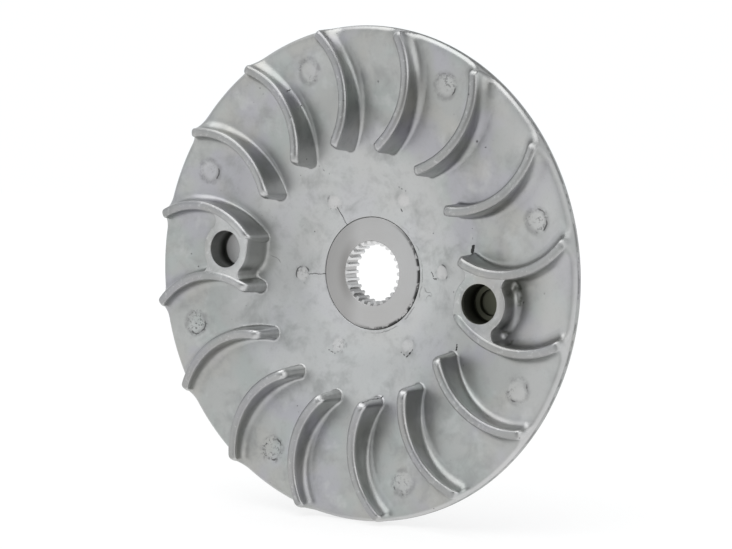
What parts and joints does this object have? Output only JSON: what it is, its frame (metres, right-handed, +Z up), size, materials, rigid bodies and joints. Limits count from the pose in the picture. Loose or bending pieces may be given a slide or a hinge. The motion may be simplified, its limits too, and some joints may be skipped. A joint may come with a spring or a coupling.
{
  "type": "variator drive face",
  "caption": "Dished die-cast drive face of a scooter belt variator: curved fan blades and blind tool holes in front, a splined steel hub in the middle and a smooth belt cone behind.",
  "frame": {"origin": "on the bore axis, in the plane of the hub's belt-side face", "axes": "+Y along the bore axis towards the belt and the engine, -Y towards the fan side, +Z up, +X to the right seen from the fan side"},
  "size_m": [0.125, 0.0175, 0.125],
  "materials": {
    "cast_aluminium": "matte, as cast",
    "machined_steel": "machined"
  },
  "bodies": {
    "root": {"fan_disc": "cast_aluminium", "splined_hub": "machined_steel"}
  },
  "joints": []
}
